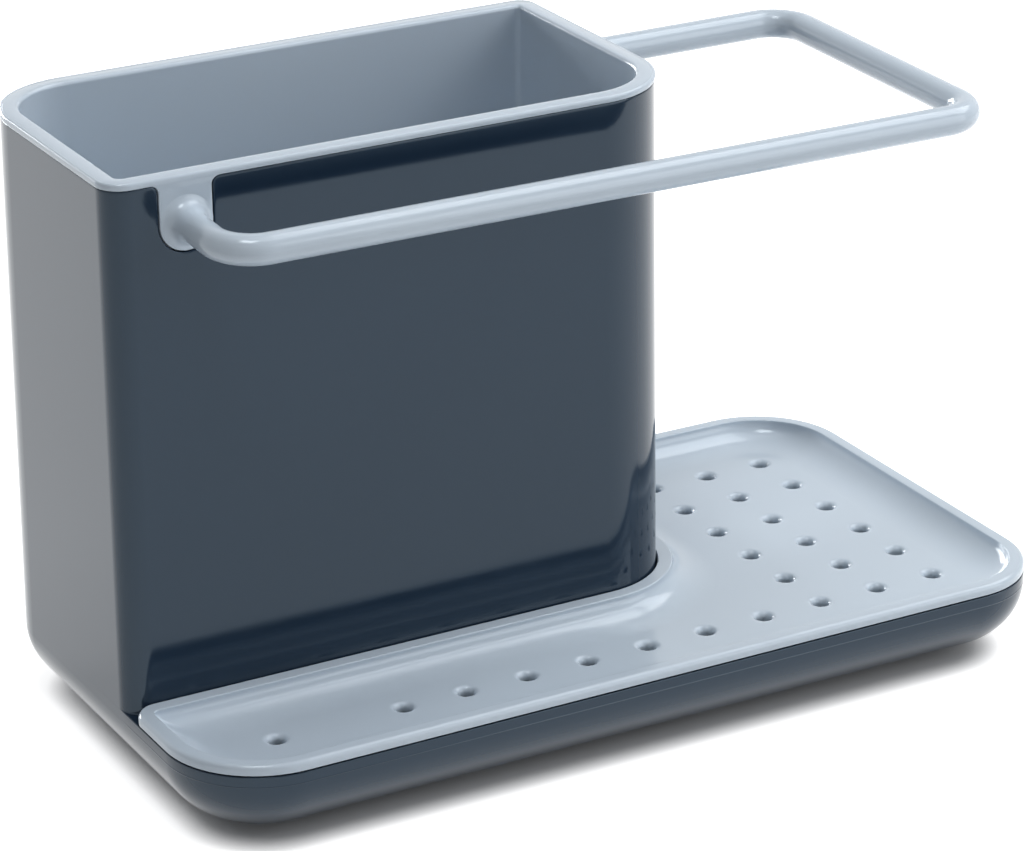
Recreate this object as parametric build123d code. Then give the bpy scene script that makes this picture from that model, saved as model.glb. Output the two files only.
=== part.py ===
from build123d import *
import math
import os

# Kitchen sink caddy in four kinds of piece: a dark outer body (a tower and a dish in one
# moulding), a light liner that lifts out with its towel rail, a light drain tray that lifts
# off the dish, and four rubber feet. Millimetres, +Z up, -Y is the front, +X is the tray end.
# The origin is on the surface that the feet stand on, at the middle of the whole outline.

# Whole object
overall_length = 205.5
overall_depth = 112.1
overall_height = 135.0
large_corner = 21.5
tower_corner = 20.0
small_corner = 5.5
least_corner = 1.2
overrun = 5.0

# Outer body
body_wall = 2.0
floor_thickness = 2.2
foot_stand = 2.0
dish_rim_height = 19.4
underside_round = 15.0
tray_end_length = 71.4
tray_front_depth = 39.55
left_lean = 0.3
right_lean = 0.5
back_lean = 1.2
tray_seat_width = 3.0

# Drain tray
tray_gap = 0.4
tray_rim_thickness = 2.2
tray_rim_round = 1.0
tray_corner = 5.0
tray_skirt_fit = 0.4
tray_skirt_height = 1.9
tray_lip_width = 3.4
basin_depth = 4.9
basin_slope_width = 9.6
basin_floor_corner = 6.0
least_straight = 0.4
tray_floor_thickness = 2.0
skirt_lean = 0.3

# Drain holes
hole_radius = 1.7
hole_round = 0.9
hole_pitch = 14.74
row_pitch = 14.5
hole_margin = 19.7
row_margin = 20.6
hole_end_margin = 15.0

# Liner
rim_thickness = 1.5
rim_overhang = 0.2
rim_round = 1.0
liner_fit = 0.3
liner_wall = 1.8
liner_inner_corner = 3.0
liner_lean = 1.4
liner_bottom_gap = 8.0
liner_floor = 2.0
drain_radius = 2.5
drain_pitch = 20.0
drain_margin = 25.0

# Rail tabs, on the front wall and on the right wall
tab_width = 12.0
tab_from_left = 16.5
tab_fit = 0.25
tab_flare = 1.8

# Towel rail
rail_height = 124.0
rail_radius = 3.25
rail_bend = 8.5
rail_reach = 20.3
rail_end_inset = 11.5
rail_back_inset = 14.6
root_flare = 2.6

# Feet
foot_radius = 5.0
foot_recess = 0.8
foot_fit = 0.3
foot_inset = 24.0

# Places worked out from the sizes
dish_left = -overall_length / 2 + rim_overhang + left_lean
dish_right = overall_length / 2
dish_front = -overall_depth / 2
dish_back = overall_depth / 2
tower_right = dish_right - tray_end_length
tower_front = dish_front + tray_front_depth
tower_top = overall_height - rim_thickness
floor_top = foot_stand + floor_thickness
floor_round = underside_round - body_wall
tray_top = dish_rim_height + tray_rim_thickness
basin_floor = tray_top - basin_depth
tray_underside = basin_floor - tray_floor_thickness
liner_bottom = floor_top + liner_bottom_gap
rim_width = body_wall + liner_fit + liner_wall
tab_radius = tab_width / 2
tab_centre_x = dish_left + tab_from_left
rail_front_y = tower_front - rail_reach
rail_back_y = dish_back - rail_back_inset
rail_end_x = dish_right - rail_end_inset


def outline(corners, radii, height):
    """A closed wire round the corners, each with its own radius, at a height."""
    points = [(x, y, height) for x, y in corners]
    return FilletPolyline(*points, radius=radii, close=True).wire()


def dish_outline(height):
    """The dish's outside edge: a rectangle that shares a corner with the tower's foot."""
    corners = [
        (dish_left, dish_front),
        (dish_right, dish_front),
        (dish_right, dish_back),
        (dish_left, dish_back),
    ]
    return outline(corners, [large_corner, large_corner, large_corner, tower_corner], height)


def tower_outline(height, inset=0, least=least_corner):
    """The tower's section: the left wall leans out, the right and back walls lean in."""
    climb_share = max((height - dish_rim_height) / (tower_top - dish_rim_height), 0)
    left = dish_left - left_lean * climb_share + inset
    right = tower_right - right_lean * climb_share - inset
    front = tower_front + inset
    back = dish_back - back_lean * climb_share - inset
    corners = [(left, front), (right, front), (right, back), (left, back)]
    radii = [max(corner - inset, least) for corner in (small_corner, tower_corner) * 2]
    return outline(corners, radii, height)


def tray_outline(height, edge_inset, tower_inset, least=least_corner):
    """The L round the tower's front and right walls, drawn in from its edge and the tower."""
    left = dish_left + edge_inset
    right = dish_right - edge_inset
    front = dish_front + edge_inset
    back = dish_back - edge_inset
    inner_x = tower_right + tray_gap + tower_inset
    inner_y = tower_front - tray_gap - tower_inset
    corners = [
        (left, front),
        (right, front),
        (right, back),
        (inner_x, back),
        (inner_x, inner_y),
        (left, inner_y),
    ]
    outer_radius = large_corner - edge_inset
    end_radius = max(tray_corner - edge_inset, least)
    inner_radius = tower_corner + tray_gap + tower_inset
    left_radius = min(outer_radius, inner_y - front - end_radius - least_straight)
    radii = [left_radius, outer_radius, outer_radius, end_radius, inner_radius, end_radius]
    return outline(corners, radii, height)


def ruled_solid(wires):
    """A solid with straight sides from each outline to the next."""
    return Solid.make_loft(wires, ruled=True)


def rounded_floor_steps(floor_height, radius):
    """Heights and insets of a floor's round edge, from the flat floor up to the wall."""
    angles = (math.pi / 2, math.pi / 4, 0)
    heights = [floor_height + radius * (1 - math.sin(angle)) for angle in angles]
    insets = [radius * (1 - math.cos(angle)) for angle in angles]
    return list(zip(heights, insets))


def tab_outline(grow):
    """A rail tab seen face on: straight sides, a round bottom, and flares up to the rim."""
    half_width = tab_radius + grow
    flare = tab_flare - grow
    rise = tower_top - rail_height
    sides = Pos(0, rise / 2) * Rectangle(2 * half_width, rise)
    flares = Pos(0, rise - flare / 2) * Rectangle(2 * (half_width + flare), flare)
    for side in (-1, 1):
        flares -= Pos(side * (half_width + flare), rise - flare) * Circle(flare)
    return sides + flares + Circle(half_width)


def front_tab_plane(y):
    """The plane of the front tab's face, with its middle at the rail's height."""
    return Plane(origin=(tab_centre_x, y, rail_height), x_dir=(1, 0, 0), z_dir=(0, -1, 0))


def side_tab_plane(x):
    """The plane of the right wall's tab, facing the tray end."""
    return Plane(origin=(x, rail_back_y, rail_height), x_dir=(0, 1, 0), z_dir=(1, 0, 0))


def tab_planes(depth):
    """Both tab planes, a depth behind the tower's faces."""
    front = front_tab_plane(tower_front + depth)
    side = side_tab_plane(tower_right - right_lean - depth)
    return [front, side]


def outer_body():
    """The tower and the dish, in one moulding that holds the liner and the tray."""
    dish = extrude(Face(dish_outline(foot_stand)), dish_rim_height - foot_stand)
    bottom_edges = dish.edges().group_by(Axis.Z)[0]
    dish = fillet(bottom_edges, underside_round)
    body = dish + ruled_solid([tower_outline(dish_rim_height), tower_outline(tower_top)])
    body -= tower_well()
    body -= dish_reservoir()
    for plane in tab_planes(body_wall + liner_fit):
        body -= extrude(plane * tab_outline(tab_fit), body_wall + liner_fit + overrun)
    for x, y in foot_places():
        recess = Cylinder(foot_radius + foot_fit, 2 * foot_recess)
        body -= Pos(x, y, foot_stand) * recess
    return body


def tower_well():
    """The space inside the tower, open at the top, with a round edge to its floor."""
    steps = rounded_floor_steps(floor_top, floor_round)
    wires = [tower_outline(height, body_wall + inset) for height, inset in steps]
    wires.append(tower_outline(tower_top + overrun, body_wall))
    return ruled_solid(wires)


def dish_reservoir():
    """The space under the tray that holds the drained water."""
    steps = rounded_floor_steps(floor_top, floor_round)
    wires = [
        tray_outline(height, body_wall + inset, tray_seat_width + inset)
        for height, inset in steps
    ]
    wires.append(tray_outline(dish_rim_height + overrun, body_wall, tray_seat_width))
    return ruled_solid(wires)


def drain_tray():
    """The tray: a rim plate on the dish's edge, with a shallow basin hung below it."""
    plate = extrude(Face(tray_outline(dish_rim_height, 0, 0)), tray_rim_thickness)
    plate = fillet(plate.edges().group_by(Axis.Z)[-1], tray_rim_round)
    skirt_edge = body_wall + tray_skirt_fit
    skirt_tower = tray_seat_width + tray_skirt_fit
    skirt_foot = dish_rim_height - tray_skirt_height
    slope = basin_slope_width - body_wall
    bowl = ruled_solid([
        tray_outline(dish_rim_height, skirt_edge, skirt_tower),
        tray_outline(skirt_foot, skirt_edge + skirt_lean, skirt_tower + skirt_lean),
        tray_outline(tray_underside, skirt_edge + slope, skirt_tower + slope),
    ])
    tray = plate + bowl - tray_basin()
    drill = drain_hole()
    for x, y in hole_places():
        tray -= Pos(x, y, basin_floor) * drill
    return tray


def drain_hole():
    """What a drain hole takes out of the floor: a straight bore with a rounded mouth."""
    mouth = hole_radius + hole_round
    edges = [
        CenterArc((mouth, -hole_round), hole_round, 90, 90),
        Line((hole_radius, -hole_round), (hole_radius, -basin_depth)),
        Line((hole_radius, -basin_depth), (0, -basin_depth)),
        Line((0, -basin_depth), (0, overrun)),
        Line((0, overrun), (mouth, overrun)),
        Line((mouth, overrun), (mouth, 0)),
    ]
    return Rot(X=90) * revolve(make_face(edges), Axis.Y)


def tray_basin():
    """The basin: a hollow slope from the lip, steep at the top and flat at the floor."""
    angles = [share * math.pi / 2 for share in (0, 1 / 3, 2 / 3, 1)]
    wires = [tray_outline(tray_top + overrun, tray_lip_width, tray_lip_width)]
    for angle in angles:
        inset = tray_lip_width + basin_slope_width * (1 - math.cos(angle))
        height = tray_top - basin_depth * math.sin(angle)
        corner = least_corner + (basin_floor_corner - least_corner) * (1 - math.cos(angle))
        wires.append(tray_outline(height, inset, inset, corner))
    return ruled_solid(wires)


def places_along(length, first_margin, last_margin, pitch):
    """How many holes a pitch apart fit along a length, between a margin at each end."""
    return int((length - first_margin - last_margin) / pitch) + 1


def hole_places():
    """The drain holes: a block at the tray end and a row along the front.

    The last place but one of the row stays bare.
    """
    first_x = dish_right - hole_margin
    first_y = dish_front + row_margin
    margins = (hole_margin, hole_end_margin)
    columns = places_along(tray_end_length, *margins, hole_pitch)
    rows = places_along(overall_depth, row_margin, hole_end_margin, row_pitch)
    last_place = places_along(overall_length, *margins, hole_pitch) - 1
    block = [
        (first_x - column * hole_pitch, first_y + row * row_pitch)
        for column in range(columns)
        for row in range(rows)
    ]
    row_places = [*range(columns, last_place - 1), last_place]
    return block + [(first_x - place * hole_pitch, first_y) for place in row_places]


def liner():
    """The light inner pot with its rim, its two rail tabs and the towel rail."""
    rim = extrude(Face(tower_outline(tower_top, -rim_overhang)), rim_thickness)
    rim = fillet(rim.edges().group_by(Axis.Z)[-1], rim_round)
    clear = body_wall + liner_fit
    pot = ruled_solid([
        tower_outline(liner_bottom, clear + liner_lean, liner_inner_corner),
        tower_outline(tower_top, clear, liner_inner_corner),
    ])
    pot = fillet(pot.edges().group_by(Axis.Z)[0], liner_inner_corner - least_corner)
    piece = rim + pot
    for plane in tab_planes(clear):
        piece += extrude(plane * tab_outline(0), clear)
    hollow = ruled_solid([
        tower_outline(liner_bottom + liner_floor, rim_width + liner_lean, liner_inner_corner),
        tower_outline(tower_top, rim_width, liner_inner_corner),
        tower_outline(tower_top + overrun, rim_width, liner_inner_corner),
    ])
    piece -= hollow
    for x, y in drain_places():
        piece -= Pos(x, y, liner_bottom) * Cylinder(drain_radius, 4 * liner_floor)
    return piece + towel_rail()


def drain_places():
    """The drain holes in the liner's floor, centred on it."""
    middle_x = (dish_left + tower_right) / 2
    middle_y = (tower_front + dish_back) / 2
    margins = (drain_margin, drain_margin)
    columns = places_along(tower_right - dish_left, *margins, drain_pitch)
    rows = places_along(dish_back - tower_front, *margins, drain_pitch)
    return [
        (
            middle_x + (column - (columns - 1) / 2) * drain_pitch,
            middle_y + (row - (rows - 1) / 2) * drain_pitch,
        )
        for column in range(columns)
        for row in range(rows)
    ]


def towel_rail():
    """The round bar from the front tab, round the tray end, back to the right wall's tab."""
    front, side = tab_planes(0)
    start = (tab_centre_x, front.origin.Y + tab_fit, rail_height)
    end = (side.origin.X - tab_fit, rail_back_y, rail_height)
    path = FilletPolyline(
        start,
        (tab_centre_x, rail_front_y, rail_height),
        (rail_end_x, rail_front_y, rail_height),
        (rail_end_x, rail_back_y, rail_height),
        end,
        radius=rail_bend,
    )
    section = front_tab_plane(start[1]) * Circle(rail_radius)
    rail = sweep(section, path=path.wire())
    return rail + front * root_boss() + side * root_boss()


def root_boss():
    """The hollow-sided flare where the rail grows out of a tab, along +Z from the tab."""
    foot_edge = rail_radius + root_flare
    edges = [
        CenterArc((foot_edge, root_flare), root_flare, 180, 90),
        Line((foot_edge, 0), (0, 0)),
        Line((0, 0), (0, root_flare)),
        Line((0, root_flare), (rail_radius, root_flare)),
    ]
    return Rot(X=90) * revolve(make_face(edges), Axis.Y)


def foot_places():
    """The feet's centres, one near each corner of the underside."""
    xs = (dish_left + foot_inset, dish_right - foot_inset)
    ys = (dish_front + foot_inset, dish_back - foot_inset)
    return [(x, y) for y in ys for x in xs]


def foot(x, y):
    """A round rubber pad, pressed into its recess in the underside."""
    height = foot_stand + foot_recess
    pad = Cylinder(foot_radius, height, align=(Align.CENTER, Align.CENTER, Align.MIN))
    return Pos(x, y, 0) * pad


def all_pieces():
    """Every piece under its node's name."""
    pieces = {"outer_body": outer_body(), "liner": liner(), "drain_tray": drain_tray()}
    corners = ("front_left", "front_right", "back_left", "back_right")
    for corner, (x, y) in zip(corners, foot_places()):
        pieces["foot_" + corner] = foot(x, y)
    return pieces


os.makedirs("parts", exist_ok=True)
for name, piece in all_pieces().items():
    export_step(piece, os.path.join("parts", name + ".step"))
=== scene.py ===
import math

import bmesh
import bpy
from mathutils import Matrix, Vector, geometry


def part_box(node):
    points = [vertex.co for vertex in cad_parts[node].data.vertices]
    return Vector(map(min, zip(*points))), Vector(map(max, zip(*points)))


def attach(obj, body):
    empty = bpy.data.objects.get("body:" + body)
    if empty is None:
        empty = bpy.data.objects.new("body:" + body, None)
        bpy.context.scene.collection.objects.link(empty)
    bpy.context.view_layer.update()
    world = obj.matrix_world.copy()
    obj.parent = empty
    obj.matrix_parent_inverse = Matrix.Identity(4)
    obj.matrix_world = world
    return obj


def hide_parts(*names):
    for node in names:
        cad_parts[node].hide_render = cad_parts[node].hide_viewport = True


# Kitchen sink caddy: a dark outer body, a light pot with its towel rail, a light drain tray
# and four rubber feet. Sizes are in millimetres, +Z up, -Y is the front, and every mesh is
# turned into metres when it becomes an object.

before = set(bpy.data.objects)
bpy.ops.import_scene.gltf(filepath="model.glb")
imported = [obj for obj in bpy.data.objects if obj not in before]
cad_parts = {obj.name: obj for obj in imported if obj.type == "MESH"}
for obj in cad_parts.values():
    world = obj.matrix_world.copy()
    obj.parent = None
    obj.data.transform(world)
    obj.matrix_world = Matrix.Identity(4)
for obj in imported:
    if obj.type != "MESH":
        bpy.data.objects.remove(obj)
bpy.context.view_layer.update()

metre = 1000.0


def box_of(node):
    """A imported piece's lowest and highest corners, in millimetres."""
    low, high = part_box(node)
    return low * metre, high * metre


body_low, body_high = box_of("outer_body")
pot_low, pot_high = box_of("liner")
tray_low, tray_high = box_of("drain_tray")

# Whole object
large_corner = 21.5
front_right_corner = 19.3
tower_corner = 20.0
small_corner = 5.5
back_corner = 3.6
least_corner = 1.2
corner_steps = 18
corner_count = corner_steps + 3
bowl_steps = 8
edge_steps = 4
weld_gap = 0.0005
sharp_angle = math.radians(38)

# Width of the narrow flat strip beside a rounded edge, which keeps the flat's shading flat
guard = 0.4
floor_guard = 0.15

# Outer body
body_wall = 2.0
floor_thickness = 2.2
dish_rim_height = 19.1
underside_height = 14.5
underside_reach = 18.0
tray_end_length = 71.4
tray_front_depth = 39.55
left_spread = 1.1
left_lean = 0.8
right_lean = 0.5
back_lean = 1.2
tray_seat_width = 3.0
edge_round = 0.35
foot_fillet = 0.25
parting_drop = 2.3
parting_half_width = 0.12
parting_height = 0.06
parting_shares = ((-2, 0), (-1, 0), (0, 1), (1, 0), (2, 0))
foot_fade_share = 1 / 3
seam_fade_length = 5.0
fade_steps = 4
underside_steps = 18

# Drain tray
tray_gap = 0.3
tower_edge_share = 0.3
tray_rim_round = 1.15
tray_corner = 5.0
tray_lip_width = 3.4
tray_lip_round = 0.3
tray_skirt_fit = 0.4
basin_depth = 4.9
basin_slope_width = 9.6
basin_floor_corner = 6.0
least_straight = 0.4
seam_gap = 0.35
seam_depth = 1.5
seam_round = 0.2
tray_seam_round = 0.12
lip_steps = 5
slope_steps = 14
tray_edge_steps = 8
bowl_under_steps = 10

# Drain holes
hole_radius = 1.65
hole_round = 1.4
hole_pitch = 14.74
row_pitch = 14.5
hole_margin = 19.7
row_margin = 20.6
hole_end_margin = 15.0
hole_points = 32
hole_steps = 7

# Liner
rim_round = 0.65
rim_inner_round = 0.9
liner_fit = 0.3
liner_wall = 1.8
liner_inner_corner = 1.6
liner_lean = 1.4
liner_floor = 2.0
liner_floor_round = 4.0
drain_radius = 2.5
drain_pitch = 20.0
drain_margin = 25.0
groove_offset = 0.15
groove_width = 0.09
groove_depth = 0.05
rim_steps = 6

# Rail tabs
tab_width = 11.6
tab_foot_rise = 0.6
tab_from_left = 17.75
tab_fit = 0.25
tab_flare = 1.8
tab_round = 0.3
tab_blend = 1.6
tab_flare_steps = 6
tab_foot_steps = 24
row_shares = (1, 0.94, 0.75, 0.5, 0.25, 0, -0.25, -0.5, -0.75, -0.94, -1)

# Towel rail
rail_height = 124.0
rail_radius = 3.25
rail_bend = 8.5
rail_back_inset = 14.6
root_flare = 2.5
root_length = 4.6
root_lift = 0.2
root_rise = 0.8
rail_droop = 0.9
droop_end_share = 0.67
rail_points = 48
rail_bend_steps = 20
root_steps = 8
line_turn = math.radians(2.2)
line_height = 0.025

# Feet
foot_radius = 5.0
foot_recess = 0.8
foot_fit = 0.3
foot_inset = 24.0
foot_round = 0.5
foot_steps = 5

# Plastics and rubber. Colours are display colours from 0 to 255, and noise scales are in
# waves to the metre.
dark_shades = ((23, 38, 55), (26, 41, 58))
light_shades = ((187, 200, 213), (192, 205, 217))
rubber_shades = ((30, 31, 33), (42, 43, 45))
plain_white = (1, 1, 1, 1)
pale_blue = (0.87, 0.94, 1, 1)
cool_white = (0.68, 0.85, 1, 1)
dark_roughness = 0.08
dark_spread = 0.015
light_roughness = 0.13
light_spread = 0.02
rubber_roughness = 0.7
rubber_spread = 0.08
moulded_ripple = 0.015
rubber_ripple = 0.02
drift_scale = 14
drift_detail = 3
haze_scale = 60
haze_detail = 5
ripple_scale = 22
ripple_detail = 1
ripple_depth = 1.0
low_noise = 0.3
high_noise = 0.7

# Floor and surround
floor_reach = 4000.0
floor_shade = (0.93, 0.93, 0.93, 1)
floor_roughness = 0.9
floor_glow = 0.75
# Within this reach of the object, ambient occlusion fades out the floor's glow: a painted contact
# shadow on the floor, also seen in the object's reflections
painted_shadow_reach = 7.0
contact_share = 0.35
open_floor_share = 0.85
surround_light = 0.08

# Softboxes, each with its place, width, height and power, aimed at the object's middle
lamp_target = (0, 0, 60)
softboxes = {
    "top_softbox": ((0, 0, 1500), 900, 900, 2.8),
    "right_softbox": ((900, 0, 1200), 1000, 1000, 12),
    "front_softbox": ((850, -1000, 500), 900, 900, 5.8),
    "small_softbox": ((-200, -200, 1000), 300, 300, 2.3),
    "back_softbox": ((-300, 1400, 300), 900, 450, 14.5),
}

# Camera: turned and raised about a point in the object, and rolled a little
camera_turn = math.radians(28.47)
camera_rise = math.radians(22.54)
camera_roll = math.radians(-0.74)
camera_target = Vector((-6.13, -4.30, 60.0))
camera_distance = 880.1
focal_pixels = 4079.6
picture_width = 1024
sensor_width = 36
nearest_seen = 10.0
farthest_seen = 50000.0

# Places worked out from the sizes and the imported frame
dish_left = tray_low.x - left_spread
dish_right = tray_high.x
dish_front = tray_low.y
dish_back = tray_high.y
rim_overhang = dish_left + left_lean - pot_low.x
tower_right = dish_right - tray_end_length
tower_front = dish_front + tray_front_depth
foot_stand = body_low.z
tower_top = body_high.z
rim_top = pot_high.z
tray_top = tray_high.z
tray_underside = tray_low.z
floor_top = foot_stand + floor_thickness
floor_round = underside_height - body_wall
basin_floor = tray_top - basin_depth
liner_bottom = pot_low.z
pot_gap = body_wall + liner_fit
rim_width = pot_gap + liner_wall
tab_radius = tab_width / 2
tab_centre_x = dish_left + tab_from_left
rail_front_y = pot_low.y + rail_radius
rail_end_x = pot_high.x - rail_radius
rail_back_y = dish_back - rail_back_inset


def arc_shares(steps):
    """Even shares from 0 to 1."""
    return [step / steps for step in range(steps + 1)]


def quarter(steps):
    """The angles of a quarter turn."""
    return [share * math.pi / 2 for share in arc_shares(steps)]


def corner_points(before, here, after, radius, steps):
    """A right-angled corner as an arc, with a guard point on each straight beside it."""
    inward = (before - here).normalized()
    outward = (after - here).normalized()
    centre = here + (inward + outward) * radius
    arc = [
        centre - outward * radius * math.cos(angle) - inward * radius * math.sin(angle)
        for angle in quarter(steps)
    ]
    return [arc[0] + inward * guard, *arc, arc[-1] + outward * guard]


def outline(corners, radii, steps=corner_steps):
    """The points round a closed outline, with one list for each corner."""
    corners = [Vector(corner) for corner in corners]
    count = len(corners)
    return [
        corner_points(corners[i - 1], corners[i], corners[(i + 1) % count], radii[i], steps)
        for i in range(count)
    ]


def at_height(points, height):
    """Flat points lifted to a height."""
    return [Vector((point.x, point.y, height)) for point in points]


def flat(groups):
    """One list from a list of lists."""
    return [point for group in groups for point in group]


def eased(share):
    """A share eased in and out between 0 and 1."""
    share = min(max(share, 0), 1)
    return share * share * (3 - 2 * share)


def mix(first, second, share):
    """Points part of the way from one ring to another."""
    return [a.lerp(b, share) for a, b in zip(first, second)]


class Skin:
    """A mesh in the making: rings of points, the skins between them, and flat fills."""

    def __init__(self):
        self.mesh = bmesh.new()

    def ring(self, points):
        return [self.mesh.verts.new(point) for point in points]

    def face(self, verts):
        kept = []
        for vert in verts:
            if not kept or (vert.co - kept[-1].co).length > weld_gap:
                kept.append(vert)
        if len(kept) > 1 and (kept[0].co - kept[-1].co).length <= weld_gap:
            kept.pop()
        if len(kept) > 2:
            self.mesh.faces.new(kept)

    def strip(self, first, second, closed=True):
        """The faces between two rows of as many points."""
        first = self.ring(first)
        second = self.ring(second)
        count = len(first)
        for i in range(count if closed else count - 1):
            j = (i + 1) % count
            self.face([first[i], first[j], second[j], second[i]])

    def loft(self, rows, closed=True):
        """A skin over a list of rows."""
        for first, second in zip(rows, rows[1:]):
            self.strip(first, second, closed)

    def fill(self, *loops):
        """A flat face inside the first loop and outside the others."""
        verts = [self.ring(loop) for loop in loops]
        every = flat(verts)
        for triangle in geometry.tessellate_polygon([list(loop) for loop in loops]):
            self.face([every[i] for i in triangle])

    def finish(self, name, material):
        """The welded mesh as an object, in metres."""
        bmesh.ops.remove_doubles(self.mesh, verts=self.mesh.verts, dist=weld_gap)
        bmesh.ops.dissolve_degenerate(self.mesh, edges=self.mesh.edges, dist=weld_gap)
        bmesh.ops.recalc_face_normals(self.mesh, faces=self.mesh.faces)
        self.mesh.transform(Matrix.Scale(1 / metre, 4))
        data = bpy.data.meshes.new(name)
        self.mesh.to_mesh(data)
        self.mesh.free()
        data.shade_smooth()
        data.set_sharp_from_angle(angle=sharp_angle)
        data.materials.append(material)
        piece = bpy.data.objects.new(name, data)
        bpy.context.scene.collection.objects.link(piece)
        return piece


# The tower's section

def tower_climb(height):
    """How far up the tower a height is: 0 at the dish's rim, 1 at the tower's top."""
    climb = (height - dish_rim_height) / (tower_top - dish_rim_height)
    return min(max(climb, 0), 1)


def tower_sides(height, inset):
    """The tower's four sides at a height: the left, right and back ones lean in."""
    climb_share = tower_climb(height)
    left = dish_left + left_lean * climb_share + inset
    right = tower_right - right_lean * climb_share - inset
    front = tower_front + inset
    back = dish_back - back_lean * climb_share - inset
    return left, right, front, back


def tower_groups(height, inset=0, least=least_corner):
    """The tower's outline at a height, a list for each corner: front left, front right,
    back right and back left."""
    left, right, front, back = tower_sides(height, inset)
    corners = [(left, front), (right, front), (right, back), (left, back)]
    corner_radii = (small_corner, tower_corner, back_corner, tower_corner)
    radii = [max(corner - inset, least) for corner in corner_radii]
    return [at_height(group, height) for group in outline(corners, radii)]


def tower_ring(height, inset=0, least=least_corner):
    return flat(tower_groups(height, inset, least))


# The rail tabs. A path runs down one side of a tab, round its foot and up the other side.
# It is given in the wall's plane: across, to the right as the wall is faced, and height.

def tab_path(half_width, flare, shift):
    """A tab's outline moved outwards by a shift, from its top left to its top right."""
    left_flare = [
        (
            -(half_width + flare) + (flare - shift) * math.sin(angle),
            tower_top - flare + (flare - shift) * math.cos(angle),
        )
        for angle in quarter(tab_flare_steps)
    ]
    foot = [
        (
            -(half_width + shift) * math.cos(share * math.pi),
            rail_height + tab_foot_rise - (half_width + shift) * math.sin(share * math.pi),
        )
        for share in arc_shares(tab_foot_steps)
    ]
    right_flare = [(-across, height) for across, height in reversed(left_flare)]
    return left_flare + foot + right_flare


def front_wall_point(across, height, inset):
    """A point on the front wall, an inset behind its face."""
    front = tower_sides(height, inset)[2]
    return Vector((tab_centre_x + across, front, height))


def side_wall_point(across, height, inset):
    """A point on the right wall, an inset behind its face."""
    right = tower_sides(height, inset)[1]
    return Vector((right, rail_back_y + across, height))


wall_points = (front_wall_point, side_wall_point)


def dipped_ring(height, inset, path, path_inset):
    """The tower's outline at a height, dipping down round each tab along a path.

    The path's inset is a function of the height.
    """
    groups = tower_groups(height, inset)
    dips = [
        [point_on(across, level, path_inset(level)) for across, level in path]
        for point_on in wall_points
    ]
    return [groups[0], dips[0], groups[1], dips[1], groups[2], groups[3]]


def fill_panels(skin, plain_groups, dipped_groups):
    """Joins a plain ring to a dipped one: strips at the corners, flat fills between."""
    corner_places = (0, 2, 4, 5)
    for corner, place in enumerate(corner_places):
        skin.strip(plain_groups[corner], dipped_groups[place], closed=False)
    for corner in (2, 3):
        after = (corner + 1) % 4
        after_place = corner_places[after]
        lower = [plain_groups[corner][-1], plain_groups[after][0]]
        upper = [dipped_groups[corner_places[corner]][-1], dipped_groups[after_place][0]]
        skin.strip(lower, upper, closed=False)
    for corner in (0, 1):
        lower = [plain_groups[corner][-1], plain_groups[corner + 1][0]]
        upper = [
            dipped_groups[2 * corner][-1],
            *dipped_groups[2 * corner + 1],
            dipped_groups[2 * corner + 2][0],
        ]
        skin.fill(lower + upper[::-1])


# Outer body

def dish_groups(height, inset=0):
    """The dish's outside at a height, in six stretches. Two of them are the short bits
    of the left and back edges where the tower's wall leaves the edge."""
    left = dish_left + inset
    right = dish_right - inset
    front = dish_front + inset
    back = dish_back - inset
    corners = [(left, front), (right, front), (right, back), (left, back)]
    corner_radii = (large_corner, front_right_corner, large_corner, tower_corner)
    radii = [max(corner - inset, least_corner) for corner in corner_radii]
    groups = outline(corners, radii)
    left_end = tower_front + small_corner
    back_end = tower_right - back_corner
    leave_left = [
        Vector((left, left_end - seam_fade_length * share)) for share in arc_shares(fade_steps)
    ]
    meet_back = [
        Vector((back_end + seam_fade_length * share, back)) for share in arc_shares(fade_steps)
    ]
    groups = [leave_left, groups[0], groups[1], groups[2], meet_back[::-1], groups[3]]
    return [at_height(group, height) for group in groups]


def dish_weights(groups):
    """How far the tray's seam shows at each point: 0 along the tower, 1 along the tray."""
    fade = [eased(share) for share in arc_shares(fade_steps)]
    return [fade, *[[1] * len(group) for group in groups[1:4]], fade[::-1], [0] * len(groups[5])]


def faded(plain, shaped, weights):
    """A ring that has the shaped ring's form only where the weights say so."""
    return [a.lerp(b, weight) for a, b, weight in zip(plain, shaped, weights)]


def dish_ring(height, inset, fade=False):
    groups = dish_groups(height, inset)
    if not fade:
        return flat(groups)
    weights = flat(dish_weights(groups))
    return faded(flat(dish_groups(height)), flat(groups), weights)


def dish_side_rings():
    """The dish's side from its top edge down to the flat underside."""
    rings = [
        dish_ring(
            dish_rim_height - seam_round * (1 - math.sin(angle)),
            seam_round * (1 - math.cos(angle)),
            fade=True,
        )
        for angle in reversed(quarter(edge_steps))
    ]
    line = dish_rim_height - parting_drop
    for drop, out in parting_shares:
        height = line - drop * parting_half_width
        rings.append(dish_ring(height, -out * parting_height, fade=True))
    bend_top = foot_stand + underside_height
    for angle in quarter(underside_steps):
        height = bend_top - underside_height * math.sin(angle)
        rings.append(dish_ring(height, underside_reach * (1 - math.cos(angle))))
    rings.append(dish_ring(foot_stand, underside_reach + guard))
    return rings


def circle(x, y, height, radius, points):
    """A level circle."""
    return [
        Vector((
            x + radius * math.cos(share * math.tau),
            y + radius * math.sin(share * math.tau),
            height,
        ))
        for share in (step / points for step in range(points))
    ]


def foot_places():
    """The feet's names and centres."""
    xs = {"left": tray_low.x + foot_inset, "right": tray_high.x - foot_inset}
    ys = {"front": dish_front + foot_inset, "back": dish_back - foot_inset}
    return {"foot_" + end + "_" + side: (xs[side], ys[end]) for end in ys for side in xs}


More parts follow.
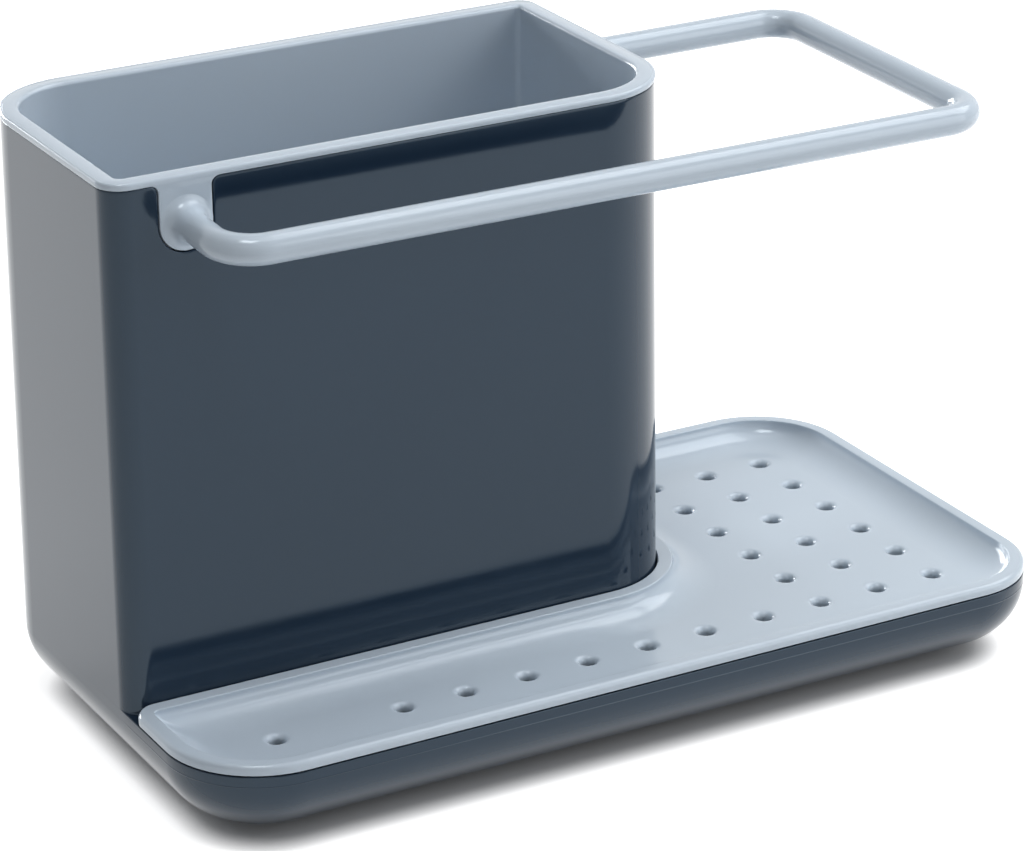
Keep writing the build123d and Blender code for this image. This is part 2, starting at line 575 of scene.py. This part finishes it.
def add_underside(skin, edge):
    """The flat underside, with a shallow recess for each foot."""
    radius = foot_radius + foot_fit
    mouths = []
    for x, y in foot_places().values():
        mouth = circle(x, y, foot_stand, radius, hole_points)
        seat = circle(x, y, foot_stand + foot_recess, radius, hole_points)
        mouths.append(mouth)
        skin.strip(mouth, seat)
        skin.fill(seat)
    skin.fill(edge, *mouths)


def ledge_outline():
    """The top of the dish's edge where the tower doesn't stand: round the dish's front and
    right, then back along the foot of the tower."""
    dish = dish_groups(dish_rim_height, seam_round)
    weights = dish_weights(dish)
    plain = dish_groups(dish_rim_height)
    stretches = zip(plain[:-1], dish, weights)
    return flat([faded(*stretch) for stretch in stretches])


def tower_foot_weights():
    """Where the tower's foot stands on the dish's edge, with a fade at both ends."""
    fade_count = corner_count * foot_fade_share
    rise = [min(max((i - 1) / fade_count, 0), 1) for i in range(corner_count)]
    return [rise, [1] * corner_count, rise[::-1], [0] * corner_count]


def tower_foot_ring(angle):
    """The small hollow round between the ledge and the tower's wall."""
    out = foot_fillet * math.sin(angle)
    height = dish_rim_height + foot_fillet * (1 - math.cos(angle))
    groups = tower_groups(height, -foot_fillet + out)
    stretches = zip(tower_groups(height), groups, tower_foot_weights())
    return [faded(*stretch) for stretch in stretches]


def tray_groups(height, inset, tower_inset, end_radius, steps=corner_steps):
    """The L round the tower's front and right walls, in six corners."""
    left = dish_left + inset
    right = dish_right - inset
    front = dish_front + inset
    back = dish_back - inset
    inner_x = tower_right + tray_gap + tower_inset
    inner_y = tower_front - tray_gap - tower_inset
    corners = [
        (left, front),
        (right, front),
        (right, back),
        (inner_x, back),
        (inner_x, inner_y),
        (left, inner_y),
    ]
    outer_radius = large_corner - inset
    inner_radius = tower_corner + tray_gap + tower_inset
    straight = least_straight + 2 * guard
    left_radius = min(outer_radius, inner_y - front - end_radius - straight)
    right_radius = front_right_corner - inset
    radii = [left_radius, right_radius, outer_radius, end_radius, inner_radius, end_radius]
    return [at_height(group, height) for group in outline(corners, radii, steps)]


def tray_ring(height, inset, tower_inset=None, end_radius=None):
    """The L with its small end corners no smaller than the least corner."""
    if tower_inset is None:
        tower_inset = inset
    if end_radius is None:
        end_radius = max(tray_corner - inset, least_corner)
    return flat(tray_groups(height, inset, tower_inset, end_radius))


def add_reservoir(skin):
    """The dish's inside, under the tray."""
    mouth = tray_ring(dish_rim_height, body_wall, tray_seat_width)
    rings = [mouth]
    for angle in quarter(bowl_steps):
        inset = floor_round * (1 - math.cos(angle))
        height = floor_top + floor_round * (1 - math.sin(angle))
        rings.append(tray_ring(height, body_wall + inset, tray_seat_width + inset))
    flat_edge = floor_round + floor_guard
    rings.append(tray_ring(floor_top, body_wall + flat_edge, tray_seat_width + flat_edge))
    skin.loft(rings)
    skin.fill(rings[-1])
    return mouth


def tower_well_rings():
    """The inside of the tower below its panels, down to its floor."""
    rings = [tower_ring(dish_rim_height, body_wall)]
    for angle in quarter(bowl_steps):
        inset = floor_round * (1 - math.cos(angle))
        height = floor_top + floor_round * (1 - math.sin(angle))
        rings.append(tower_ring(height, body_wall + inset))
    rings.append(tower_ring(floor_top, body_wall + floor_round + floor_guard))
    return rings


def notch_ring(height, inset, shift):
    """The tower's top edge with its two notches."""
    path = tab_path(tab_radius + tab_fit, tab_flare - tab_fit, shift)
    return dipped_ring(height, inset, path, lambda level: inset)


def outer_body(material):
    """The tower and the dish, in one moulding."""
    skin = Skin()
    sides = dish_side_rings()
    skin.loft(sides)
    add_underside(skin, sides[-1])

    foot_rings = [tower_foot_ring(angle) for angle in quarter(edge_steps)]
    skin.loft([flat(groups) for groups in foot_rings])
    mouth = add_reservoir(skin)
    foot_edge = foot_rings[0]
    inner_edge = flat(foot_edge[:3])
    skin.fill(ledge_outline() + inner_edge[::-1], mouth)

    outer_edge = [
        notch_ring(
            tower_top - edge_round * (1 - math.sin(angle)),
            edge_round * (1 - math.cos(angle)),
            edge_round * (1 - math.sin(angle)),
        )
        for angle in quarter(edge_steps)
    ]
    below = notch_ring(tower_top - edge_round - guard, 0, edge_round + guard)
    inner = notch_ring(tower_top, body_wall, 0)
    fill_panels(skin, foot_rings[-1], below)
    skin.loft([flat(groups) for groups in [below, *outer_edge, inner]])
    well = tower_well_rings()
    fill_panels(skin, tower_groups(dish_rim_height, body_wall), inner)
    skin.loft(well)
    skin.fill(well[-1])
    return skin.finish("caddy_body", material)


# Pot with its towel rail

def pot_ring(height, extra, least):
    """The pot's leaning wall at a height, drawn in by an extra thickness."""
    share = (height - liner_bottom) / (tower_top - liner_bottom)
    low = tower_groups(liner_bottom, pot_gap + liner_lean + extra, least)
    high = tower_groups(tower_top, pot_gap + extra, least)
    return [at_height(mix(a, b, share), height) for a, b in zip(low, high)]


def pot_wall_inset(level):
    """How far the pot's wall stands behind the tower's front face at a level."""
    share = (level - liner_bottom) / (tower_top - liner_bottom)
    low = tower_sides(liner_bottom, pot_gap + liner_lean)[2]
    high = tower_sides(tower_top, pot_gap)[2]
    return low + (high - low) * share - tower_sides(level, 0)[2]


def face_inset(level):
    """The rim overhangs the tabs a little, and blends down into their faces."""
    share = (level - (tower_top + tab_round - tab_blend)) / tab_blend
    return -rim_overhang * eased(share)


def flange_ring(angle):
    """The rounded lower edge of the rim and the tabs, from below round to the face."""
    back = tab_round * (1 - math.sin(angle))
    rise = tab_round * (1 - math.cos(angle))
    path = tab_path(tab_radius, tab_flare, -rise)
    inset = back - rim_overhang
    return dipped_ring(tower_top + rise, inset, path, lambda level: face_inset(level) + back)


def tab_face(skin, point_on):
    """A tab's face, in rows from its top down to its round foot."""
    path = tab_path(tab_radius, tab_flare, -tab_round)
    half = len(path) // 2
    rows = []
    for i in range(half + 1):
        across, level = path[i]
        inset = face_inset(level)
        rows.append([point_on(across * share, level, inset) for share in row_shares])
    skin.loft(rows, closed=False)


def rim_ring(height, inset, least=least_corner):
    """The plain rim at a height, with the tab rows' points on its straight stretches."""
    groups = tower_groups(height, inset, least)
    path = tab_path(tab_radius, tab_flare, -tab_round)
    across = path[0][0]
    rows = [
        [point_on(across * share, height, inset) for share in row_shares]
        for point_on in wall_points
    ]
    return flat([groups[0], rows[0], groups[1], rows[1], groups[2], groups[3]])


def rim_profile():
    """The rim's section as heights and insets, from the outer side over to the inner wall."""
    profile = [(tower_top + tab_round, -rim_overhang)]
    for angle in quarter(rim_steps):
        height = rim_top - rim_round * (1 - math.sin(angle))
        profile.append((height, -rim_overhang + rim_round * (1 - math.cos(angle))))
    groove = -rim_overhang + rim_round + groove_offset
    profile.append((rim_top, groove - groove_width))
    profile.append((rim_top - groove_depth, groove))
    profile.append((rim_top, groove + groove_width))
    for angle in reversed(quarter(rim_steps)):
        height = rim_top - rim_inner_round * (1 - math.sin(angle))
        profile.append((height, rim_width - rim_inner_round * (1 - math.cos(angle))))
    return profile


def drain_places():
    """The drain holes in the pot's floor, centred on it."""
    middle_x = (dish_left + tower_right) / 2
    middle_y = (tower_front + dish_back) / 2
    margins = (drain_margin, drain_margin)
    columns = places_along(tower_right - dish_left, *margins, drain_pitch)
    rows = places_along(dish_back - tower_front, *margins, drain_pitch)
    return [
        (
            middle_x + (column - (columns - 1) / 2) * drain_pitch,
            middle_y + (row - (rows - 1) / 2) * drain_pitch,
        )
        for column in range(columns)
        for row in range(rows)
    ]


def places_along(length, first_margin, last_margin, pitch):
    """How many holes a pitch apart fit along a length, between a margin at each end."""
    return int((length - first_margin - last_margin) / pitch) + 1


def add_pot_shell(skin):
    """The pot's outer wall, rim, inner wall and drained floor."""
    outer_round = liner_inner_corner - least_corner
    outer = []
    for angle in reversed(quarter(rim_steps)):
        height = liner_bottom + outer_round * (1 - math.sin(angle))
        inset = outer_round * (1 - math.cos(angle))
        outer.append(flat(pot_ring(height, inset, liner_inner_corner)))
    skin.loft(outer)
    wall_path = tab_path(tab_radius, tab_flare, 0)
    wall_top = dipped_ring(tower_top, pot_gap, wall_path, pot_wall_inset)
    fill_panels(skin, pot_ring(liner_bottom + outer_round, 0, liner_inner_corner), wall_top)
    edge_rings = [flat(flange_ring(angle)) for angle in quarter(edge_steps)]
    skin.loft([flat(wall_top), *edge_rings])
    for point_on in wall_points:
        tab_face(skin, point_on)
    rim = [rim_ring(height, inset) for height, inset in rim_profile()]
    skin.loft(rim)
    return outer[0]


def inner_rings():
    """The pot's inner wall from under the rim to the edge of its floor."""
    top = rim_top - rim_inner_round
    bottom = liner_bottom + liner_floor
    rings = []
    for angle in quarter(bowl_steps):
        height = bottom + liner_floor_round * (1 - math.sin(angle))
        inset = liner_floor_round * (1 - math.cos(angle))
        rings.append(flat(pot_ring(height, liner_wall + inset, liner_inner_corner)))
    rings.append(flat(pot_ring(bottom, liner_wall + liner_floor_round + guard, liner_inner_corner)))
    return top, rings


def pot(material):
    """The light pot: shell, tabs and rail."""
    skin = Skin()
    bottom_edge = add_pot_shell(skin)
    top, rings = inner_rings()
    upper = flat(tower_groups(top, rim_width, least_corner))
    skin.loft([upper, *rings])
    floor_height = liner_bottom + liner_floor
    top_mouths = []
    bottom_mouths = []
    for x, y in drain_places():
        top_mouth = circle(x, y, floor_height, drain_radius, hole_points)
        bottom_mouth = circle(x, y, liner_bottom, drain_radius, hole_points)
        skin.strip(top_mouth, bottom_mouth)
        top_mouths.append(top_mouth)
        bottom_mouths.append(bottom_mouth)
    skin.fill(rings[-1], *top_mouths)
    skin.fill(bottom_edge, *bottom_mouths)
    add_rail(skin)
    return skin.finish("caddy_pot", material)


def rail_path():
    """The rail's centreline and its direction at each point, from tab to tab."""
    front = tower_sides(rail_height, 0)[2]
    side = tower_sides(rail_height, 0)[1]
    corners = [
        Vector((tab_centre_x, front, rail_height)),
        Vector((tab_centre_x, rail_front_y, rail_height)),
        Vector((rail_end_x, rail_front_y, rail_height)),
        Vector((rail_end_x, rail_back_y, rail_height)),
        Vector((side, rail_back_y, rail_height)),
    ]
    stations = []
    for before, here, after in zip(corners, corners[1:], corners[2:]):
        inward = (before - here).normalized()
        outward = (after - here).normalized()
        centre = here + (inward + outward) * rail_bend
        for angle in quarter(rail_bend_steps):
            spot = centre - outward * rail_bend * math.cos(angle)
            spot -= inward * rail_bend * math.sin(angle)
            heading = outward * math.sin(angle) - inward * math.cos(angle)
            stations.append((spot, heading))
    first_heading = (corners[1] - corners[0]).normalized()
    last_heading = (corners[-1] - corners[-2]).normalized()
    return corners[0], first_heading, stations, corners[-1], last_heading


def rail_lift(spot):
    """The rail's sag: from high at the first tab's root down to the free corner, and back
    to level along the end bar."""
    along = (spot.x - tab_centre_x) / (rail_end_x - tab_centre_x)
    back = (spot.y - rail_front_y) / (rail_back_y - rail_front_y) / droop_end_share
    if spot.y > tower_front:
        along = 1
    along = min(along, 1)
    drop = root_lift - (rail_droop + root_lift) * along
    out = (tower_front - spot.y) / (tower_front - rail_front_y)
    rise = root_rise * max(1 - out, 0) * (1 - along)
    return rise + drop * min(max(1 - back, 0), 1)


def rail_ring(spot, heading, radius):
    """The rail's round section, with a fine parting line at each side."""
    side = heading.cross(Vector((0, 0, 1)))
    spot = spot + Vector((0, 0, rail_lift(spot)))
    angles = sorted(
        [share * math.tau for share in (step / rail_points for step in range(rail_points))]
        + [middle + turn for middle in (math.pi, math.tau) for turn in (-line_turn, line_turn)]
    )
    points = []
    for angle in angles:
        on_line = abs(math.sin(angle)) < math.sin(line_turn / 2)
        grown = radius + (line_height if on_line else 0)
        rise = Vector((0, 0, grown * math.sin(angle)))
        points.append(spot + side * grown * math.cos(angle) + rise)
    return points


def add_rail(skin):
    """The towel rail, flared where it grows out of the tabs."""
    start, first_heading, stations, end, last_heading = rail_path()
    rings = []
    flare_angles = quarter(root_steps)
    for angle in flare_angles:
        away = root_length * (1 - math.cos(angle))
        radius = rail_radius + root_flare * (1 - math.sin(angle))
        rings.append(rail_ring(start + first_heading * away, first_heading, radius))
    rings += [rail_ring(spot, heading, rail_radius) for spot, heading in stations]
    for angle in reversed(flare_angles):
        away = root_length * (1 - math.cos(angle))
        radius = rail_radius + root_flare * (1 - math.sin(angle))
        rings.append(rail_ring(end - last_heading * away, last_heading, radius))
    skin.loft(rings)


# Drain tray

def hole_places():
    """The drain holes: a block at the tray end and a row along the front."""
    first_x = dish_right - hole_margin
    first_y = dish_front + row_margin
    margins = (hole_margin, hole_end_margin)
    columns = places_along(tray_end_length, *margins, hole_pitch)
    rows = places_along(dish_back - dish_front, row_margin, hole_end_margin, row_pitch)
    last_place = places_along(dish_right - pot_low.x, *margins, hole_pitch) - 1
    block = [
        (first_x - column * hole_pitch, first_y + row * row_pitch)
        for column in range(columns)
        for row in range(rows)
    ]
    row_places = [*range(columns, last_place - 1), last_place]
    return block + [(first_x - place * hole_pitch, first_y) for place in row_places]


def basin_rings():
    """The basin from the lip's flat top down the hollow slope to the floor."""
    rings = [tray_ring(tray_top, tray_lip_width - tray_lip_round - guard)]
    for angle in quarter(lip_steps):
        inset = tray_lip_width - tray_lip_round * (1 - math.sin(angle))
        height = tray_top - tray_lip_round * (1 - math.cos(angle))
        rings.append(tray_ring(height, inset))
    top = tray_top - tray_lip_round
    depth = top - basin_floor
    for angle in quarter(slope_steps)[1:]:
        ease = 1 - math.cos(angle)
        inset = tray_lip_width + basin_slope_width * ease
        corner = least_corner + (basin_floor_corner - least_corner) * ease
        rings.append(tray_ring(top - depth * math.sin(angle), inset, end_radius=corner))
    last_inset = tray_lip_width + basin_slope_width + floor_guard
    rings.append(tray_ring(basin_floor, last_inset, end_radius=basin_floor_corner))
    return rings


def tray_edge_rings():
    """The tray's rim from its flat top out over the edge and back in underneath."""
    rings = [tray_ring(tray_top, tray_lip_width - tray_lip_round - guard)]
    flat_edge = tray_rim_round + guard
    rings.append(tray_ring(tray_top, flat_edge, flat_edge * tower_edge_share))
    for angle in reversed(quarter(tray_edge_steps)):
        inset = tray_rim_round * (1 - math.cos(angle))
        height = tray_top - tray_rim_round * (1 - math.sin(angle))
        rings.append(tray_ring(height, inset, inset * tower_edge_share))
    for angle in quarter(edge_steps):
        inset = tray_seam_round * (1 - math.cos(angle))
        height = dish_rim_height + seam_gap + tray_seam_round * (1 - math.sin(angle))
        rings.append(tray_ring(height, inset))
    rings.append(tray_ring(dish_rim_height + seam_gap, seam_depth))
    return rings


def tray_under_rings():
    """The tray's underside: the seat, the skirt and the bowl down to the flat bottom."""
    edge = body_wall + tray_skirt_fit
    tower_edge = tray_seat_width + tray_skirt_fit
    under_slope = basin_slope_width - body_wall
    rings = [tray_ring(dish_rim_height, edge, tower_edge, least_corner)]
    top = dish_rim_height
    depth = top - tray_underside
    for angle in quarter(bowl_under_steps)[1:]:
        ease = under_slope * (1 - math.cos(angle))
        corner = least_corner + (basin_floor_corner - least_corner) * (1 - math.cos(angle))
        height = top - depth * math.sin(angle)
        rings.append(tray_ring(height, edge + ease, tower_edge + ease, corner))
    return rings


def drain_tray(material):
    """The light tray with its lip, basin and drain holes."""
    skin = Skin()
    skin.loft(basin_rings())
    edge = tray_edge_rings()
    under = tray_under_rings()
    skin.loft([*edge, *under])
    top_mouths = []
    bottom_mouths = []
    for x, y in hole_places():
        rings = [circle(x, y, basin_floor, hole_radius + hole_round + guard, hole_points)]
        for angle in reversed(quarter(hole_steps)):
            radius = hole_radius + hole_round * (1 - math.cos(angle))
            height = basin_floor - hole_round * (1 - math.sin(angle))
            rings.append(circle(x, y, height, radius, hole_points))
        rings.append(circle(x, y, tray_underside, hole_radius, hole_points))
        skin.loft(rings)
        top_mouths.append(rings[0])
        bottom_mouths.append(rings[-1])
    skin.fill(basin_rings()[-1], *top_mouths)
    skin.fill(under[-1], *bottom_mouths)
    return skin.finish("caddy_tray", material)


# Feet

def foot(name, x, y, material):
    """A round rubber pad with a soft lower edge."""
    skin = Skin()
    rings = [circle(x, y, 0, foot_radius - foot_round - guard, hole_points)]
    for angle in reversed(quarter(foot_steps)):
        radius = foot_radius - foot_round * (1 - math.cos(angle))
        rings.append(circle(x, y, foot_round * (1 - math.sin(angle)), radius, hole_points))
    rings.append(circle(x, y, foot_stand + foot_recess, foot_radius, hole_points))
    skin.loft(rings)
    skin.fill(rings[0])
    skin.fill(rings[-1])
    return skin.finish("pad_" + name, material)


# Materials

def colour(red, green, blue):
    """A display colour, from 0 to 255, as the linear colour that a shader takes."""
    def linear(value):
        share = value / 255
        if share <= 0.04045:
            return share / 12.92
        return ((share + 0.055) / 1.055) ** 2.4
    return (linear(red), linear(green), linear(blue), 1)


def moulded_plastic(name, shades, sheen_tint, roughness, spread, ripple):
    """A moulded plastic: a faint drift of colour, uneven gloss and a shallow ripple."""
    material = bpy.data.materials.new(name)
    material.use_nodes = True
    nodes = material.node_tree.nodes
    links = material.node_tree.links
    shader = nodes["Principled BSDF"]
    shader.inputs["Specular Tint"].default_value = sheen_tint
    place = nodes.new("ShaderNodeTexCoord")

    drift = nodes.new("ShaderNodeTexNoise")
    drift.inputs["Scale"].default_value = drift_scale
    drift.inputs["Detail"].default_value = drift_detail
    links.new(place.outputs["Object"], drift.inputs["Vector"])
    tint = nodes.new("ShaderNodeValToRGB")
    for element, position, shade in zip(tint.color_ramp.elements, (low_noise, high_noise), shades):
        element.position = position
        element.color = colour(*shade)
    links.new(drift.outputs["Fac"], tint.inputs["Fac"])
    links.new(tint.outputs["Color"], shader.inputs["Base Color"])

    haze = nodes.new("ShaderNodeTexNoise")
    haze.inputs["Scale"].default_value = haze_scale
    haze.inputs["Detail"].default_value = haze_detail
    links.new(place.outputs["Object"], haze.inputs["Vector"])
    gloss = nodes.new("ShaderNodeMapRange")
    gloss.inputs["From Min"].default_value = low_noise
    gloss.inputs["From Max"].default_value = high_noise
    gloss.inputs["To Min"].default_value = roughness - spread
    gloss.inputs["To Max"].default_value = roughness + spread
    links.new(haze.outputs["Fac"], gloss.inputs["Value"])
    links.new(gloss.outputs["Result"], shader.inputs["Roughness"])

    waves = nodes.new("ShaderNodeTexNoise")
    waves.inputs["Scale"].default_value = ripple_scale
    waves.inputs["Detail"].default_value = ripple_detail
    links.new(place.outputs["Object"], waves.inputs["Vector"])
    bump = nodes.new("ShaderNodeBump")
    bump.inputs["Strength"].default_value = ripple
    bump.inputs["Distance"].default_value = ripple_depth / metre
    links.new(waves.outputs["Fac"], bump.inputs["Height"])
    links.new(bump.outputs["Normal"], shader.inputs["Normal"])
    return material


dark_plastic = moulded_plastic(
    "dark_plastic_look", dark_shades, cool_white, dark_roughness, dark_spread, moulded_ripple
)
light_plastic = moulded_plastic(
    "light_plastic_look", light_shades, pale_blue, light_roughness, light_spread, moulded_ripple
)
pad_rubber = moulded_plastic(
    "foot_rubber_look", rubber_shades, plain_white, rubber_roughness, rubber_spread, rubber_ripple
)


# Pieces on their bodies

def place_piece(piece, body, node):
    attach(piece, body)
    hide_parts(node)


place_piece(outer_body(dark_plastic), "base", "outer_body")
place_piece(pot(light_plastic), "pot", "liner")
place_piece(drain_tray(light_plastic), "tray", "drain_tray")
for node_name, (foot_x, foot_y) in foot_places().items():
    pad = foot(node_name, foot_x, foot_y, pad_rubber)
    place_piece(pad, "base", node_name)


# Floor, light and camera

def seen_directly(tree):
    """A socket that is 1 for what the eye sees, in the open, mirrored or through glass."""
    rays = tree.nodes.new("ShaderNodeLightPath")
    mirrored = tree.nodes.new("ShaderNodeMath")
    mirrored.operation = "MAXIMUM"
    tree.links.new(rays.outputs["Is Camera Ray"], mirrored.inputs[0])
    tree.links.new(rays.outputs["Is Glossy Ray"], mirrored.inputs[1])
    seen = tree.nodes.new("ShaderNodeMath")
    seen.operation = "MAXIMUM"
    tree.links.new(mirrored.outputs["Value"], seen.inputs[0])
    tree.links.new(rays.outputs["Is Transmission Ray"], seen.inputs[1])
    return seen.outputs["Value"]


def backdrop_floor():
    """A wide floor that glows white to the eye and in reflections. Close to the object the glow
    fades out by ambient occlusion, which is a painted contact shadow laid over the lamps' real
    shadow."""
    skin = Skin()
    corners = ((-1, -1), (1, -1), (1, 1), (-1, 1))
    skin.fill([Vector((x * floor_reach, y * floor_reach, 0)) for x, y in corners])
    material = bpy.data.materials.new("studio_floor")
    material.use_nodes = True
    shader = material.node_tree.nodes["Principled BSDF"]
    shader.inputs["Base Color"].default_value = floor_shade
    shader.inputs["Roughness"].default_value = floor_roughness
    shader.inputs["Specular IOR Level"].default_value = 0
    nodes = material.node_tree.nodes
    links = material.node_tree.links
    # Painted shadow: ambient occlusion takes the glow away where the floor is close to the object
    painted_shadow_occlusion = nodes.new("ShaderNodeAmbientOcclusion")
    painted_shadow_occlusion.inputs["Distance"].default_value = painted_shadow_reach / metre
    open_share = nodes.new("ShaderNodeMapRange")
    open_share.inputs["From Min"].default_value = contact_share
    open_share.inputs["From Max"].default_value = open_floor_share
    open_share.inputs["To Max"].default_value = floor_glow
    links.new(painted_shadow_occlusion.outputs["AO"], open_share.inputs["Value"])
    share = nodes.new("ShaderNodeMath")
    share.operation = "MULTIPLY"
    links.new(seen_directly(material.node_tree), share.inputs[0])
    links.new(open_share.outputs["Result"], share.inputs[1])
    glow = nodes.new("ShaderNodeEmission")
    links.new(share.outputs["Value"], glow.inputs["Strength"])
    both = nodes.new("ShaderNodeAddShader")
    links.new(shader.outputs["BSDF"], both.inputs[0])
    links.new(glow.outputs["Emission"], both.inputs[1])
    links.new(both.outputs["Shader"], nodes["Material Output"].inputs["Surface"])
    floor = skin.finish("studio_floor", material)


def studio_world():
    """A pale surround that shows as plain white to the eye and in reflections."""
    world = bpy.data.worlds.new("studio_world")
    world.use_nodes = True
    bpy.context.scene.world = world
    nodes = world.node_tree.nodes
    links = world.node_tree.links
    background = nodes["Background"]
    background.inputs["Color"].default_value = plain_white
    strength = nodes.new("ShaderNodeMapRange")
    strength.inputs["To Min"].default_value = surround_light
    links.new(seen_directly(world.node_tree), strength.inputs["Value"])
    links.new(strength.outputs["Result"], background.inputs["Strength"])


def softbox(name, position, width, height, power):
    """A rectangular studio lamp aimed at the object."""
    data = bpy.data.lights.new(name, "AREA")
    data.shape = "RECTANGLE"
    data.size = width / metre
    data.size_y = height / metre
    data.energy = power
    lamp = bpy.data.objects.new(name, data)
    lamp.location = Vector(position) / metre
    direction = Vector(lamp_target) - Vector(position)
    lamp.rotation_euler = direction.to_track_quat("-Z", "Y").to_euler()
    bpy.context.scene.collection.objects.link(lamp)


def photo_camera():
    """The camera at the photograph's place."""
    back = Vector((
        -math.sin(camera_turn) * math.cos(camera_rise),
        -math.cos(camera_turn) * math.cos(camera_rise),
        math.sin(camera_rise),
    ))
    right = (-back).cross(Vector((0, 0, 1))).normalized()
    up = right.cross(-back)
    across = math.cos(camera_roll) * right + math.sin(camera_roll) * up
    upright = math.cos(camera_roll) * up - math.sin(camera_roll) * right
    data = bpy.data.cameras.new("photo_camera")
    data.sensor_width = sensor_width
    data.lens = focal_pixels * data.sensor_width / picture_width
    data.clip_start = nearest_seen / metre
    data.clip_end = farthest_seen / metre
    camera = bpy.data.objects.new("photo_camera", data)
    place = Matrix((across, upright, back)).transposed().to_4x4()
    place.translation = (camera_target + back * camera_distance) / metre
    camera.matrix_world = place
    bpy.context.scene.collection.objects.link(camera)
    bpy.context.scene.camera = camera


backdrop_floor()
studio_world()
for lamp_name, settings in softboxes.items():
    softbox(lamp_name, *settings)
photo_camera()
bpy.context.scene.view_settings.view_transform = "Standard"
